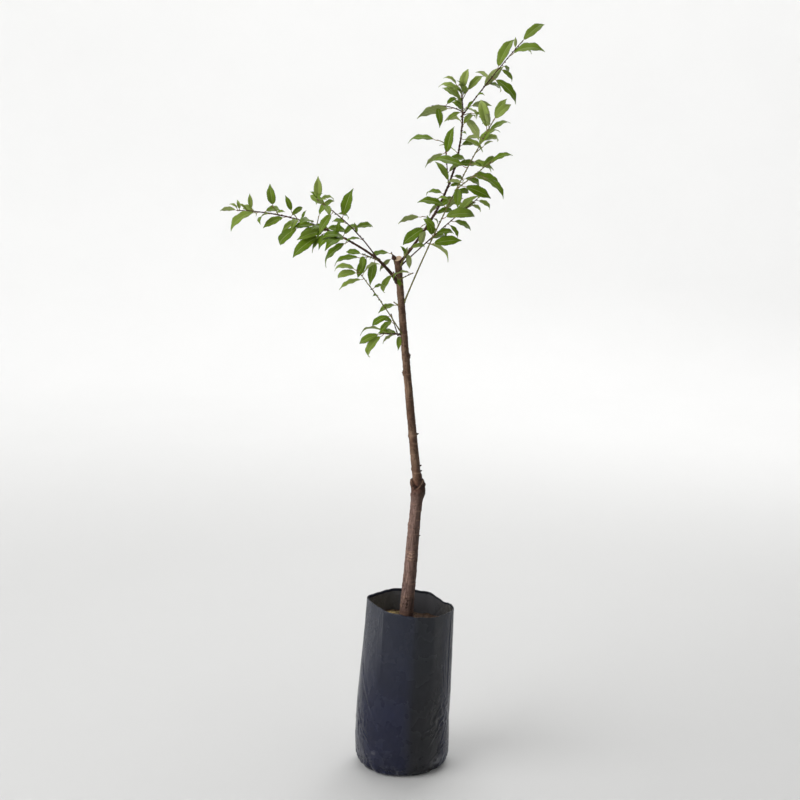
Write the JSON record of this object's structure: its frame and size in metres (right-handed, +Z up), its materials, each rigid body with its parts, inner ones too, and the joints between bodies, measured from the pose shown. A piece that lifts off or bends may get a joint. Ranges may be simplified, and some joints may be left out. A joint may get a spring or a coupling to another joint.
{
  "type": "potted plum tree",
  "caption": "Young grafted plum tree with a leaning bare trunk and two leafy boughs, standing in a black film grow bag filled with soil.",
  "frame": {"origin": "middle of the flat underside of the grow bag, on the surface it stands on", "axes": "+Z up along the tree, +X towards the right of the picture, +Y away from the viewer"},
  "size_m": [0.6357, 0.2776, 1.4969],
  "materials": {
    "film": "smooth black polythene film with soft folds",
    "soil": "rough damp soil",
    "bark": "rough grey-brown bark",
    "green_wood": "smooth green bark of young shoots",
    "foliage": "satin leaf blades"
  },
  "bodies": {
    "root": {"front_shoot": "green_wood", "grow_bag": "film", "leaves_front": "foliage", "leaves_head_left": "foliage", "leaves_head_right": "foliage", "leaves_left_axil": "foliage", "leaves_left_fork": "foliage", "leaves_left_long": "foliage", "leaves_left_upper": "foliage", "leaves_low_left": "foliage", "leaves_low_spur": "foliage", "leaves_right": "foliage", "leaves_right_side": "foliage", "leaves_trunk_front": "foliage", "leaves_trunk_spur": "foliage", "left_bough": "bark", "left_long_bough": "bark", "left_upper_bough": "bark", "low_left_shoot": "green_wood", "potting_soil": "soil", "right_bough": "bark", "right_side_bough": "bark", "trunk": "bark"}
  },
  "joints": []
}
